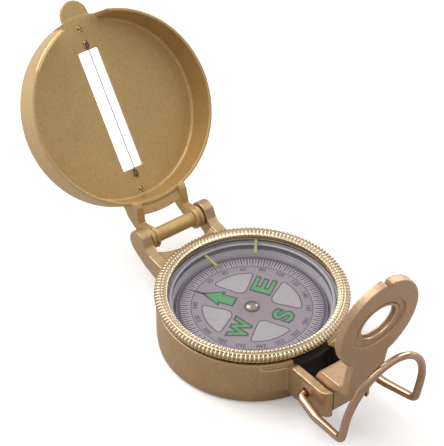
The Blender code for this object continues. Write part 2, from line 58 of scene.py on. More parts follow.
KNURLS = 140
KNURL_STEPS = KNURLS * 8
KNURL_DEPTH = {"side": (0.5, 0.0), "both": (0.3, 0.42), "top": (0.0, 0.3)}  # cut inward and down
INNER_KNURL_DEPTH = 0.3

LINER_TOP = 14.0

LOOP_PIVOT = Vector((10.1, -33.3, 10.4))
LOOP_END_X = 6.1
LOOP_ELBOW = Vector((10.9, -40.9, 9.4))
LOOP_FOOT = Vector((12.1, -52.2, 11.7))
LOOP_LEAN_DEG = 9.0
LOOP_SIDE = 6.9
LOOP_ARCH = 17.2
LOOP_WIRE_RADIUS = 1.0
LOOP_SWELL = 0.06
LOOP_SWELL_MORE = 0.2
LOOP_SWELL_X = 8.6
LOOP_SWELL_Y = -38.6
LOOP_SWELL_REACH = 5.4

SIGHT_WIRE_Z = 23.25
SIGHT_WIRE_HALF = 18.6
SIGHT_WIRE_RADIUS = 0.13

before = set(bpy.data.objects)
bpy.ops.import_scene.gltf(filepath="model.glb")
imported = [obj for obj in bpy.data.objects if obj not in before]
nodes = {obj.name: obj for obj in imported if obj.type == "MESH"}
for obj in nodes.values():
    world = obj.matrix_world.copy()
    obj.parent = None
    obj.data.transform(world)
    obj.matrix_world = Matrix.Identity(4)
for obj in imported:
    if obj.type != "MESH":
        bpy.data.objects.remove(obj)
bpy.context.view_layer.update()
scene = bpy.context.scene


# ---------------------------------------------------------------- materials


class Tree:
    """A material's node tree, with short calls to add and join nodes."""

    def __init__(self, name):
        self.material = bpy.data.materials.new(name)
        self.material.use_nodes = True
        self.nodes = self.material.node_tree.nodes
        self.links = self.material.node_tree.links
        self.shader = self.nodes["Principled BSDF"]
        self.place = self.add("ShaderNodeTexCoord").outputs["Object"]

    def add(self, kind, **settings):
        node = self.nodes.new(kind)
        for key, value in settings.items():
            setattr(node, key, value)
        return node

    def put(self, socket, value):
        """Sets a socket to a number or colour, or links it to another socket."""
        if isinstance(value, bpy.types.NodeSocket):
            self.links.new(value, socket)
        elif isinstance(value, tuple) and len(value) == 3 and socket.type == "RGBA":
            socket.default_value = (*value, 1.0)
        else:
            socket.default_value = value

    def set(self, **values):
        for key, value in values.items():
            self.put(self.shader.inputs[key.replace("_", " ")], value)

    def noise(self, scale, detail=2.0, rough=0.5, distort=0.0):
        node = self.add("ShaderNodeTexNoise")
        self.put(node.inputs["Vector"], self.place)
        self.put(node.inputs["Scale"], scale)
        self.put(node.inputs["Detail"], detail)
        self.put(node.inputs["Roughness"], rough)
        self.put(node.inputs["Distortion"], distort)
        return node.outputs["Fac"]

    def ramp(self, value, *stops):
        """A colour ramp from (position, colour or grey) stops."""
        node = self.add("ShaderNodeValToRGB")
        self.put(node.inputs["Fac"], value)
        elements = node.color_ramp.elements
        while len(elements) < len(stops):
            elements.new(0.5)
        for element, (position, colour) in zip(elements, stops):
            element.position = position
            element.color = (*colour, 1.0) if isinstance(colour, tuple) else (colour, colour, colour, 1.0)
        return node.outputs["Color"]

    def mix(self, factor, a, b, blend="MIX"):
        node = self.add("ShaderNodeMix", data_type="RGBA", blend_type=blend)
        self.put(node.inputs["Factor"], factor)
        self.put(node.inputs["A"], a)
        self.put(node.inputs["B"], b)
        return node.outputs["Result"]

    def maths(self, operation, a, b=0.0):
        node = self.add("ShaderNodeMath", operation=operation)
        self.put(node.inputs[0], a)
        self.put(node.inputs[1], b)
        return node.outputs["Value"]

    def bump(self, height, strength, distance):
        node = self.add("ShaderNodeBump")
        self.put(node.inputs["Height"], height)
        self.put(node.inputs["Strength"], strength)
        self.put(node.inputs["Distance"], distance)
        self.put(self.shader.inputs["Normal"], node.outputs["Normal"])


def scaled(colour, factor):
    return tuple(min(1.0, c * factor) for c in colour)


def metal_paint(name, colour, metallic, roughness, grain=0.35, edge=0.35, pocket_shade=False):
    """Satin metallic paint over a casting: fine flakes, cloudy tone, smoother and paler edges that are partly
    rubbed paint and partly a painted highlight, and painted shade in the hollows.

    The pocket option paints the pocket between the front arms black, matt and not metallic, as painted shade
    for the deep shadow there.
    """
    tree = Tree(name)
    flakes = tree.noise(5200, 2.0, 0.6)
    speckle = tree.ramp(flakes, (0.30, 0.0), (0.72, 1.0))
    clouds = tree.ramp(tree.noise(95, 3.0, 0.55, 0.6), (0.32, 0.0), (0.70, 1.0))
    base = tree.mix(clouds, scaled(colour, 0.93), scaled(colour, 1.06))
    base = tree.mix(tree.maths("MULTIPLY", speckle, grain), base, scaled(colour, 1.35))
    orange_peel = tree.noise(1500, 2.0, 0.6)
    base = tree.mix(tree.ramp(orange_peel, (0.36, 0.4), (0.52, 0.0)), base, scaled(colour, 0.8))
    base = tree.mix(tree.ramp(orange_peel, (0.55, 0.0), (0.68, 0.3)), base, scaled(colour, 1.25))
    # Paler, smoother convex edges: partly rubbed paint, partly a painted highlight along the edges.
    points = tree.add("ShaderNodeNewGeometry").outputs["Pointiness"]
    edge_wear_highlight_mask = tree.ramp(points, (0.505, 0.0), (0.56, 1.0))
    patchy = tree.ramp(tree.noise(420, 3.0, 0.6), (0.35, 0.25), (0.65, 1.0))
    wear_and_highlight = tree.maths("MULTIPLY", tree.maths("MULTIPLY", edge_wear_highlight_mask, patchy), edge)
    pale = tuple(0.55 * c + 0.45 * p for c, p in zip(colour, (0.86, 0.72, 0.48)))
    base = tree.mix(wear_and_highlight, base, pale)
    # Painted shade: concave hollows and creases are darkened where shade falls.
    hollow_shade = tree.ramp(points, (0.44, 1.0), (0.495, 0.0))
    base = tree.mix(tree.maths("MULTIPLY", hollow_shade, 0.45), base, scaled(colour, 0.42))
    rough = tree.maths("ADD", tree.maths("MULTIPLY", speckle, 0.07), roughness)
    rough = tree.maths("ADD", rough, tree.maths("MULTIPLY", clouds, 0.05))
    rough = tree.maths("SUBTRACT", rough, tree.maths("MULTIPLY", wear_and_highlight, 0.12))
    if pocket_shade:
        # Painted shade: the pocket turns black, matt and not metallic in place of its deep shadow.
        inside = front_pocket(tree)
        base = tree.mix(inside, base, (0.012, 0.008, 0.007))
        rough = tree.maths("ADD", rough, tree.maths("MULTIPLY", inside, 0.3))
        metallic = tree.maths("SUBTRACT", metallic, tree.maths("MULTIPLY", inside, metallic))
    tree.set(Base_Color=base, Metallic=metallic, Roughness=rough)
    cast = tree.noise(900, 3.0, 0.55)
    height = tree.maths("ADD", tree.maths("MULTIPLY", flakes, 0.5), cast)
    tree.bump(height, 0.22, 0.00010)
    return tree.material


def front_pocket(tree):
    """1 on the case's wall and the arms' inner faces behind the eyepiece's knuckle, where the painted shade
    goes, and 0 elsewhere.
    """
    split = tree.add("ShaderNodeSeparateXYZ")
    tree.put(split.inputs["Vector"], tree.place)
    beside = tree.maths("LESS_THAN", tree.maths("ABSOLUTE", split.outputs["X"]), POCKET_HALF_WIDTH * MM)
    before = tree.maths("LESS_THAN", split.outputs["Y"], POCKET_FRONT * MM)
    return tree.maths("MULTIPLY", beside, before)


def polished(name, colour, roughness, streak=0.05):
    """Bright drawn or turned metal with faint streaks and a few dull patches."""
    tree = Tree(name)
    smudge = tree.ramp(tree.noise(260, 3.0, 0.6), (0.35, 0.0), (0.75, 1.0))
    fine = tree.noise(3800, 2.0, 0.5)
    base = tree.mix(smudge, scaled(colour, 1.03), scaled(colour, 0.92))
    rough = tree.maths("ADD", tree.maths("MULTIPLY", smudge, streak), roughness)
    tree.set(Base_Color=base, Metallic=1.0, Roughness=rough)
    tree.bump(fine, 0.08, 0.00003)
    return tree.material


def matte(name, colour, roughness=0.6, mottle=0.08, scale=700):
    """Moulded or printed matt surface with slight mottling."""
    tree = Tree(name)
    cloud = tree.ramp(tree.noise(scale, 3.0, 0.6), (0.3, 0.0), (0.7, 1.0))
    base = tree.mix(cloud, scaled(colour, 1 - mottle), scaled(colour, 1 + mottle))
    rough = tree.maths("ADD", tree.maths("MULTIPLY", cloud, 0.08), roughness)
    tree.set(Base_Color=base, Roughness=rough)
    tree.bump(tree.noise(4200, 2.0, 0.5), 0.1, 0.00003)
    return tree.material


def card_print():
    """The card's ground: lilac-grey, darker towards the rim, with painted shadow in a dark band at its edge.
    """
    tree = Tree("card_print")
    split = tree.add("ShaderNodeSeparateXYZ")
    tree.put(split.inputs["Vector"], tree.place)
    x, y = split.outputs["X"], split.outputs["Y"]
    radius = tree.maths("SQRT", tree.maths("ADD", tree.maths("MULTIPLY", x, x), tree.maths("MULTIPLY", y, y)))
    share = tree.maths("DIVIDE", radius, CARD_RADIUS * MM)
    # Darker towards the rim; the steep last stop is painted shadow of the gap round the card's edge.
    zones_and_rim_shadow = tree.ramp(
        share,
        (0.10, (0.225, 0.18, 0.19)),
        (0.45, (0.265, 0.22, 0.245)),
        (0.72, (0.27, 0.225, 0.265)),
        (0.84, (0.25, 0.205, 0.25)),
        (0.94, (0.22, 0.18, 0.225)),
        (0.97, (0.13, 0.105, 0.135)),
    )
    cloud = tree.ramp(tree.noise(330, 4.0, 0.6), (0.3, 0.0), (0.7, 1.0))
    base = tree.mix(tree.maths("MULTIPLY", cloud, 0.3), zones_and_rim_shadow, (0.33, 0.27, 0.315))
    tree.set(Base_Color=base, Roughness=0.55)
    tree.bump(tree.noise(2600, 3.0, 0.6), 0.08, 0.00003)
    return tree.material


def liner_plastic():
    """The capsule's pale plastic with painted light by height: the shaded deep wall round the card is painted
    palest, the lit flange above it greyer.
    """
    tree = Tree("liner_plastic")
    split = tree.add("ShaderNodeSeparateXYZ")
    tree.put(split.inputs["Vector"], tree.place)
    share = tree.maths("DIVIDE", split.outputs["Z"], LINER_TOP * MM)
    # Painted light: paler low down to lift the shaded wall, greyer on the lit flange.
    base = tree.ramp(share, (0.80, (0.88, 0.83, 0.88)), (0.90, (0.46, 0.425, 0.465)))
    cloud = tree.ramp(tree.noise(300, 3.0, 0.6), (0.3, 0.94), (0.7, 1.0))
    tree.set(Base_Color=tree.mix(1.0, base, cloud, "MULTIPLY"), Roughness=0.5)
    tree.bump(tree.noise(4200, 2.0, 0.5), 0.1, 0.00003)
    return tree.material


def clear(name, tint, opacity, roughness):
    """Thin clear glass or plastic, seen mostly by its reflections and a faint veil, with a painted sheen that
    turns it whitish towards grazing angles.
    """
    tree = Tree(name)
    haze = tree.ramp(tree.noise(60, 3.0, 0.6), (0.3, 0.7), (0.7, 1.0))
    alpha = tree.maths("MULTIPLY", haze, opacity)
    # Painted reflection: opacity rises towards grazing angles, so the whitish base colour shows as a sheen.
    facing = tree.add("ShaderNodeLayerWeight").outputs["Facing"]
    alpha = tree.maths("ADD", alpha, tree.maths("MULTIPLY", tree.maths("POWER", facing, 5.0), 0.9))
    tree.set(Base_Color=tint, Roughness=roughness, Alpha=alpha)
    tree.shader.inputs["Specular IOR Level"].default_value = 1.0
    return tree.material


def glow_line(name, colour):
    """Luminous paint with a faintly uneven tone."""
    tree = Tree(name)
    cloud = tree.ramp(tree.noise(900, 2.0, 0.5), (0.3, 0.0), (0.7, 1.0))
    base = tree.mix(cloud, scaled(colour, 0.9), scaled(colour, 1.08))
    tree.set(Base_Color=base, Roughness=0.5)
    return tree.material


LID_PAINT = metal_paint("lid_gold_paint", (0.54, 0.372, 0.160), 0.62, 0.40)
# The case's paint carries painted shade in the pocket between the front arms.
CASE_PAINT = metal_paint("case_gold_paint", (0.53, 0.365, 0.20), 0.76, 0.32, pocket_shade=True)
BRONZE_PAINT = metal_paint("eyepiece_gold_paint", (0.57, 0.385, 0.24), 0.66, 0.36)
BEZEL_PAINT = metal_paint("bezel_gold_paint", (0.62, 0.50, 0.34), 0.94, 0.19, 0.15, 0.6)
COPPER = polished("rose_gold_wire", (0.64, 0.415, 0.28), 0.16)
STEEL = polished("dull_steel", (0.34, 0.31, 0.29), 0.34)
STEEL_DARK = polished("blackened_wire", (0.10, 0.085, 0.07), 0.4)
STUD = metal_paint("stud_gold_paint", (0.34, 0.235, 0.10), 0.8, 0.34, 0.2, 0.9)
BRASS = polished("aged_brass", (0.50, 0.36, 0.20), 0.28)
HUB = polished("hub_silver_brown", (0.33, 0.27, 0.24), 0.2)
LINER = liner_plastic()
RUBBER = matte("gasket_rubber", (0.13, 0.12, 0.13), 0.75, 0.2, 1200)
CARD = card_print()
INK = matte("ink_black", (0.045, 0.05, 0.05), 0.55, 0.2, 2200)
INK_SOFT = matte("ink_plum", (0.055, 0.035, 0.055), 0.6, 0.2, 2200)
INK_PALE = matte("ink_pale", (0.42, 0.385, 0.425), 0.6, 0.08, 2200)
GREEN = matte("luminous_green", (0.065, 0.30, 0.095), 0.5, 0.18, 1500)
PETAL = matte("petal_grey", (0.37, 0.345, 0.36), 0.55, 0.06, 900)
GLOW = glow_line("luminous_yellow", (0.30, 0.30, 0.10))
GLASS = clear("bezel_glass", (0.80, 0.80, 0.82), 0.022, 0.03)
WINDOW = clear("window_glass", (0.85, 0.86, 0.86), 0.008, 0.03)
LENS = clear("lens_glass", (0.92, 0.95, 0.95), 0.01, 0.01)


# ---------------------------------------------------------------- making pieces


def add_object(name, mesh, material):
    """An object for a mesh, with one material."""
    obj = bpy.data.objects.new(name, mesh)
    scene.collection.objects.link(obj)
    mesh.materials.clear()
    mesh.materials.append(material)
    return obj


def from_bmesh(name, bm, material, smooth_deg=35.0):
    """An object from mesh code in mm. Edges sharper than smooth_deg stay crisp."""
    bmesh.ops.recalc_face_normals(bm, faces=bm.faces)
    bmesh.ops.scale(bm, vec=(MM, MM, MM), verts=bm.verts)
    mesh = bpy.data.meshes.new(name)
    bm.to_mesh(mesh)
    bm.free()
    mesh.shade_smooth()
    mesh.set_sharp_from_angle(angle=math.radians(smooth_deg))
    return add_object(name, mesh, material)


def finish_piece(obj, body, slot, *replaced):
    """Lets a piece ride on a body in place of any CAD nodes named. slot is not used."""
    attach(obj, body)
    if replaced:
        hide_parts(*replaced)
    return obj


def lathe(name, profile, material, steps=180, wave=None, smooth_deg=35.0):
    """Revolves (radius, z) points in mm about Z. wave(index, angle) may move a point by (radius, z)."""
    bm = bmesh.new()
    rings = []
    for index, (radius, z) in enumerate(profile):
        ring = []
        for i in range(steps if radius > 0 else 1):
            angle = FULL * i / steps
            more_r, more_z = wave(index, angle) if wave else (0.0, 0.0)
            spot = ((radius + more_r) * math.cos(angle), (radius + more_r) * math.sin(angle), z + more_z)
            ring.append(bm.verts.new(spot))
        rings.append(ring)
    for ring, after in zip(rings, rings[1:] + rings[:1]):
        for i in range(steps):
            near = [ring[i % len(ring)], ring[(i + 1) % len(ring)]]
            far = [after[(i + 1) % len(after)], after[i % len(after)]]
            corners = list(dict.fromkeys(near + far))
            if len(corners) > 2:
                bm.faces.new(corners)
    return from_bmesh(name, bm, material, smooth_deg)


def tube(name, points, radius, material, sides=20):
    """A round wire along points in mm. radius is a number, or a function of the point."""
    path = [Vector(p) for p in points]
    bm = bmesh.new()
    rings = []
    normal = None
    count = len(path)
    for i, point in enumerate(path):
        before = path[max(i - 1, 0)]
        after = path[min(i + 1, count - 1)]
        tangent = (after - before).normalized()
        if normal is None:
            normal = tangent.orthogonal().normalized()
        normal = (normal - tangent * normal.dot(tangent)).normalized()
        side = tangent.cross(normal)
        ring = []
        for k in range(sides):
            turn = FULL * k / sides
            reach = radius(point) if callable(radius) else radius
            ring.append(bm.verts.new(point + (normal * math.cos(turn) + side * math.sin(turn)) * reach))
        rings.append(ring)
    for ring, after in zip(rings, rings[1:]):
        for k in range(sides):
            bm.faces.new((ring[k], ring[(k + 1) % sides], after[(k + 1) % sides], after[k]))
    bm.faces.new(rings[0])
    bm.faces.new(rings[-1])
    return from_bmesh(name, bm, material, 50.0)


def rounded_copy(node, name, material, voxel, smooth, keep, turn=None):
    """A copy of a CAD node with its edges softened as on a painted casting.

    voxel is the remesh size in mm, smooth the rounds of smoothing, and keep the share of faces kept.
    turn is a matrix that lays the node square to the axes while it is worked on.
    """
    mesh = nodes[node].data.copy()
    obj = add_object(name, mesh, material)
    turn = turn or Matrix.Identity(4)
    mesh.transform(turn)
    remesh = obj.modifiers.new("remesh", "REMESH")
    remesh.mode = "VOXEL"
    remesh.voxel_size = voxel * MM
    remesh.use_smooth_shade = True
    soften = obj.modifiers.new("soften", "SMOOTH")
    soften.factor = 0.5
    soften.iterations = smooth
    thin = obj.modifiers.new("thin", "DECIMATE")
    thin.ratio = keep
    bpy.context.view_layer.update()
    graph = bpy.context.evaluated_depsgraph_get()
    result = bpy.data.meshes.new_from_object(obj.evaluated_get(graph))
    obj.modifiers.clear()
    obj.data = result
    result.name = name
    result.transform(turn.inverted())
    result.materials.clear()
    result.materials.append(material)
    result.shade_smooth()
    return obj


def lid_square():
    """The matrix that turns the open lid to its shut place, square to the axes."""
    to_hinge = Matrix.Translation(-LID_HINGE * MM)
    swing = Matrix.Rotation(math.radians(LID_OPEN_DEG), 4, "X")
    return to_hinge.inverted() @ swing @ to_hinge


# ---------------------------------------------------------------- metal pieces


def build_metal():
    """The painted castings: case, lid and eyepiece."""
    case = rounded_copy("case_body", "case_casting", CASE_PAINT, 0.22, 4, 0.4)
    finish_piece(case, "case", "gold_paint", "case_body")
    lid = rounded_copy("lid_shell", "lid_casting", LID_PAINT, 0.2, 3, 0.3, lid_square())
    finish_piece(lid, "lid", "gold_paint", "lid_shell")
    eyepiece = rounded_copy("eyepiece_bracket", "eyepiece_casting", BRONZE_PAINT, 0.2, 4, 0.5)
    finish_piece(eyepiece, "eyepiece", "dull_gold_paint", "eyepiece_bracket")


def bezel_profile():
    """(radius, z, knurl) round the bezel's section. knurl says which way the grooves cut, if any."""
    return [
        (23.4, 9.9, None),
        (24.3, 9.9, None),
        (24.3, 11.2, None),
        (23.9, 11.2, None),
        (23.9, 12.4, None),
        (24.3, 12.4, None),
        (24.3, 14.1, None),
        (24.85, 14.1, None),
        (25.0, 14.25, None),
        (25.02, 15.1, None),
        (25.2, 15.25, None),
        (25.95, 15.3, None),
        (26.1, 15.36, "side"),
        (26.18, 15.5, "side"),
        (26.2, 15.9, "side"),
        (26.14, 16.2, "side"),
        (25.95, 16.42, "both"),
        (25.6, 16.6, "both"),
        (25.2, 16.74, "both"),
        (24.95, 16.78, "both"),
        (24.78, 16.76, None),
        (24.6, 16.81, None),
        (24.35, 16.83, None),
        (24.1, 16.81, None),
        (23.98, 16.74, "top"),
        (23.85, 16.72, "top"),
        (23.7, 16.66, "top"),
        (23.66, 16.5, "top"),
        (23.66, 15.0, None),
        (22.9, 15.0, None),
        (22.9, 14.6, None),
        (23.4, 14.6, None),
    ]


def knurl_wave(angle):
    """How deep the knurl is at an angle, from 0 on a rib to 1 in a groove."""
    wave = 0.5 - 0.5 * math.cos(KNURLS * angle)
    return wave**1.2


def build_bezel():
    """The knurled ring, the notched ring inside it and the glass they hold."""
    section = bezel_profile()

    def knurl(index, angle):
        kind = section[index][2]
        if kind is None:
            return 0.0, 0.0
        groove = -knurl_wave(angle)
        across, down = KNURL_DEPTH[kind]
        return across * groove, down * groove

    profile = [(r, z) for r, z, _ in section]
    ring = lathe("bezel_knurled_ring", profile, BEZEL_PAINT, KNURL_STEPS, knurl, 60.0)
    finish_piece(ring, "bezel", "gold_paint", "bezel_ring")
    inner = [(22.7, 16.2), (23.5, 16.2), (23.6, 16.6), (23.3, 16.52), (23.0, 16.42), (22.75, 16.32)]
    notched = (2, 3, 4)

    def notch(index, angle):
        return 0.0, -INNER_KNURL_DEPTH * knurl_wave(angle) if index in notched else 0.0

    retaining = lathe("bezel_inner_ring", inner, BEZEL_PAINT, KNURL_STEPS, notch, 60.0)
    finish_piece(retaining, "bezel", "gold_paint", "glass_retaining_ring")
    glass = lathe(
        "bezel_crystal",
        [(0, 15.32), (23.2, 15.32), (23.4, 15.4), (23.4, 16.0), (23.3, 16.12), (0, 16.12)],
        GLASS,
        180,
    )
    finish_piece(glass, "bezel", "clear_glass", "bezel_glass")


def build_capsule():
    """The pale liner round the card, and the inner window with its ring."""
    cup = lathe(
        "capsule_liner",
        [
            (1.1, 2.1), (23.1, 2.1), (23.1, 13.8), (22.95, LINER_TOP), (22.6, LINER_TOP), (22.6, 12.1),
            (21.2, 12.1), (21.2, 3.4), (3.2, 3.3), (2.6, 4.7), (1.1, 4.7),
        ],
        LINER,
        200,
    )
    finish_piece(cup, "case", "pale_liner", "capsule_cup")
    pane = [(0, 12.85), (22.3, 12.85), (22.3, 13.4), (22.2, 13.45), (0, 13.45)]
    window = lathe("capsule_crystal", pane, WINDOW)
    finish_piece(window, "case", "clear_glass", "capsule_window")
    ring = lathe(
        "capsule_window_ring",
        [(21.5, 13.65), (22.3, 13.65), (22.3, 13.95), (22.2, LINER_TOP), (21.7, LINER_TOP), (21.5, 13.85)],
        LINER,
        200,
    )
    finish_piece(ring, "case", "pale_liner", "window_retaining_ring")


# ---------------------------------------------------------------- dial


def ribbon(bm, points, width, low, high):
    """A thin raised line round a closed loop of 2-D points, joined at mitred corners."""
    count = len(points)
    rows = []
    for i, point in enumerate(points):
        before, after = points[i - 1], points[(i + 1) % count]
        along = Vector((after[0] - before[0], after[1] - before[1])).normalized()
        out = Vector((along.y, -along.x)) * width / 2
        corners = ((-1, low), (1, low), (1, high), (-1, high))
        rows.append([bm.verts.new((point[0] + out.x * s, point[1] + out.y * s, z)) for s, z in corners])
    for row, after in zip(rows, rows[1:] + rows[:1]):
        for k in range(4):
            bm.faces.new((row[k], row[(k + 1) % 4], after[(k + 1) % 4], after[k]))


def slab(bm, outline, low, high):
    """A thin solid with a flat outline."""
    ends = [[bm.verts.new((x, y, z)) for x, y in outline] for z in (low, high)]
    bm.faces.new(ends[0])
    bm.faces.new(ends[1])
    for i in range(len(outline)):
        j = (i + 1) % len(outline)
        bm.faces.new((ends[0][i], ends[0][j], ends[1][j], ends[1][i]))


def petal_outline(steps=10):
    """A rounded sector between two cardinal points, centred on +Y, in polar form."""
    corners = [(6.1, -9.0), (6.1, 9.0), (13.6, 26.5), (13.9, 0.0), (13.6, -26.5)]
    radii = [1.6, 1.6, 1.5, 8.0, 1.5]
    flat = [Vector((r * math.sin(math.radians(a)), r * math.cos(math.radians(a)))) for r, a in corners]
    outline = []
    count = len(flat)
    for i, corner in enumerate(flat):
        before = flat[i - 1] - corner
        after = flat[(i + 1) % count] - corner
        start = corner + before.normalized() * min(radii[i], before.length / 2)
        end = corner + after.normalized() * min(radii[i], after.length / 2)
        for k in range(steps + 1):
            t = k / steps
            outline.append(start * (1 - t) ** 2 + corner * 2 * t * (1 - t) + end * t**2)
    return outline


def turned_points(points, bearing_deg):
    """Turns 2-D points clockwise by a bearing."""
    a = math.radians(bearing_deg)
    return [(x * math.cos(a) + y * math.sin(a), -x * math.sin(a) + y * math.cos(a)) for x, y in points]


def place_print(name, bm, material):
    """Turns print drawn with north along +Y to the card's heading and lets it ride on the card."""
    heading = Matrix.Rotation(math.radians(NORTH_DEG), 3, "Z")
    bmesh.ops.rotate(bm, verts=bm.verts, cent=(0, 0, 0), matrix=heading)
    obj = from_bmesh(name, bm, material, 30.0)
    return finish_piece(obj, "card", "lilac_card")


def text_mesh(bm, body, place, size, turn_deg, low, high, grow=0.0):
    """Adds a word in Blender's own font, centred at a place.

    size is (width, height), and width 0 keeps the font's shape. grow thickens the strokes.
    """
    curve = bpy.data.curves.new("word", "FONT")
    curve.body = body
    curve.size = 7.0
    curve.resolution_u = 4
    curve.extrude = (high - low) / 2
    obj = bpy.data.objects.new("word", curve)
    scene.collection.objects.link(obj)
    bpy.context.view_layer.update()
    width, height = size
    tall = height / obj.dimensions.y
    wide = width / obj.dimensions.x if width else tall
    curve.offset = 2 * grow / (wide + tall)
    bpy.context.view_layer.update()
    mesh = bpy.data.meshes.new_from_object(obj.evaluated_get(bpy.context.evaluated_depsgraph_get()))
    spots = np.array([v.co for v in mesh.vertices])
    middle = (spots.min(0) + spots.max(0)) / 2
    mesh.transform(Matrix.Diagonal((wide, tall, 1, 1)) @ Matrix.Translation((-middle[0], -middle[1], 0)))
    turn = Matrix.Rotation(math.radians(turn_deg), 4, "Z")
    mesh.transform(Matrix.Translation((*place, (low + high) / 2)) @ turn)
    bm.from_mesh(mesh)
    bpy.data.objects.remove(obj)
    bpy.data.meshes.remove(mesh)


# Each letter's (x, y) place and (width, height), in mm on the card with north along +Y.
LETTERS = (("E", (9.0, 0.05), (4.9, 5.3)), ("W", (-8.9, -0.05), (6.9, 4.6)), ("S", (0.0, -8.95), (3.4, 5.1)))
EDGE_GROW = 0.62
FILL_GROW = 0.10


def build_card():
    """The card's disc."""
    top, rim, low = CARD_TOP, CARD_RADIUS, CARD_TOP - 0.4
    profile = [(1.0, low), (rim - 0.1, low), (rim, low + 0.1), (rim, top - 0.1), (rim - 0.1, top), (1.0, top)]
    card = lathe("card_disc", profile, CARD, 240)
    finish_piece(card, "card", "lilac_card", "compass_card")


def print_petals():
    """Four pale petals between the cardinal points, each with a dark line round it."""
    fills, lines = bmesh.new(), bmesh.new()
    for bearing in (45, 135, 225, 315):
        outline = turned_points(petal_outline(), bearing)
        slab(fills, outline, PRINT_LOW, CARD_TOP + 0.02)
        ribbon(lines, outline, 0.27, PRINT_LOW, CARD_TOP + 0.035)
    place_print("petal_fills", fills, PETAL)
    place_print("petal_outlines", lines, INK_SOFT)


def print_cardinals():
    """Green letters and north arrow with dark edges, and the thin needle line ahead of the arrow."""
    blacks, greens = bmesh.new(), bmesh.new()
    edge_low, edge_top = PRINT_LOW, CARD_TOP + 0.03
    fill_low, fill_top = PRINT_LOW + 0.01, CARD_TOP + 0.05
    for body, place, size in LETTERS:
        text_mesh(blacks, body, place, size, 0, edge_low, edge_top, EDGE_GROW)
        text_mesh(greens, body, place, size, 0, fill_low, fill_top, FILL_GROW)
    arrow = [(0, 13.3), (2.3, 9.15), (1.4, 9.35), (1.4, 5.2), (-1.4, 5.2), (-1.4, 9.35), (-2.3, 9.15)]
    rim = [(0, 14.8), (3.1, 8.4), (1.85, 8.65), (1.85, 4.75), (-1.85, 4.75), (-1.85, 8.65), (-3.1, 8.4)]
    needle = [(0.45, 13.4), (0.16, 19.2), (-0.16, 19.2), (-0.45, 13.4)]
    slab(greens, arrow, fill_low, fill_top)
    slab(blacks, rim, edge_low, edge_top)
    slab(blacks, needle, edge_low, edge_top)
    place_print("cardinal_outlines", blacks, INK)
    place_print("cardinal_letters", greens, GREEN)


def print_degrees():
    """Long and short ticks with pale gaps between them, two circles, and a number every 20 degrees."""
    ticks, pale = bmesh.new(), bmesh.new()
    step = 360 / TICKS
    for i in range(TICKS):
        inner, half = (17.0, 0.15) if i % 2 == 0 else (17.9, 0.12)
        bar = [(-half, inner), (half, inner), (half, 19.4), (-half, 19.4)]
        slab(ticks, turned_points(bar, step * i), PRINT_LOW, CARD_TOP + 0.02)
        gap = [(-0.14, 16.6), (0.14, 16.6), (0.14, 19.0), (-0.14, 19.0)]
        slab(pale, turned_points(gap, step * (i + 0.5)), PRINT_LOW, CARD_TOP + 0.015)
    for radius, width in ((19.7, 0.5), (16.35, 0.16)):
        turns = [FULL * i / 180 for i in range(180)]
        circle = [(radius * math.cos(turn), radius * math.sin(turn)) for turn in turns]
        ribbon(ticks, circle, width, PRINT_LOW, CARD_TOP + 0.03)
    for i in range(NUMBERS):
        bearing = 360 // NUMBERS * i
        place = turned_points([(0, 15.2)], bearing)[0]
        text_mesh(ticks, str(bearing), place, (0, NUMBER_HEIGHT), -bearing, PRINT_LOW, CARD_TOP + 0.02, 0.02)
    place_print("degree_ticks", ticks, INK_SOFT)
    place_print("degree_gaps", pale, INK_PALE)


def build_hub():
    """The domed cap over the pivot."""
    profile = [
        (0.95, 10.62), (1.95, 10.62), (2.05, 10.7), (1.98, 10.9), (1.75, 11.15), (1.35, 11.4),
        (0.8, 11.55), (0.3, 11.6), (0, 11.6), (0, 11.0), (0.95, 11.0),
    ]
    hub = lathe("hub_dome", profile, HUB, 64, None, 60.0)
    finish_piece(hub, "card", "brass", "hub_cap")


# ---------------------------------------------------------------- wire and small pieces


def bend(corners, radius, steps):
    """A route through corner points with each corner rounded."""
    route = [corners[0]]
    for before, corner, after in zip(corners, corners[1:], corners[2:]):
        start = corner + (before - corner).normalized() * radius
        end = corner + (after - corner).normalized() * radius
        for i in range(steps + 1):
            t = i / steps
            route.append(start * (1 - t) ** 2 + corner * 2 * t * (1 - t) + end * t**2)
    return route + [corners[-1]]


def loop_points():
    """The bent wire's route: from the right arm out to its foot, up, over the arch and down the left."""
    lean = math.radians(LOOP_LEAN_DEG)
    rise = Vector((0, -math.sin(lean), math.cos(lean)))
    end = Vector((LOOP_END_X, LOOP_PIVOT.y, LOOP_PIVOT.z))
    leg = [end, LOOP_PIVOT, LOOP_ELBOW, LOOP_FOOT, LOOP_FOOT + rise * LOOP_SIDE]
    right = bend(leg, 1.7, 9)[:-1]
    middle = Vector((0, LOOP_FOOT.y, LOOP_FOOT.z))
    for i in range(41):
        turn = math.pi / 2 * i / 40
        across = Vector((LOOP_FOOT.x * math.cos(turn), 0, 0))
        right.append(middle + across + rise * (LOOP_SIDE + LOOP_ARCH * math.sin(turn)))
    return right + [Vector((-p.x, p.y, p.z)) for p in reversed(right[:-1])]


def loop_radius(point):
    """The wire is a little swollen by its bends between the pivot and the elbow."""
    if abs(point.x) <= LOOP_SWELL_X:
        return LOOP_WIRE_RADIUS
    near = max(0.0, 1.0 - abs(LOOP_SWELL_Y - point.y) / LOOP_SWELL_REACH)
    return LOOP_WIRE_RADIUS + LOOP_SWELL + LOOP_SWELL_MORE * near**0.7


def build_wire():
    """The thumb loop."""
    loop = tube("thumb_loop_wire", loop_points(), loop_radius, COPPER, 28)
    finish_piece(loop, "thumb_loop", "copper_wire", "thumb_loop")


def on_lid(obj):
    """Swings a piece drawn with the lid shut to the open lid."""
    obj.data.transform(lid_square().inverted())
    return obj


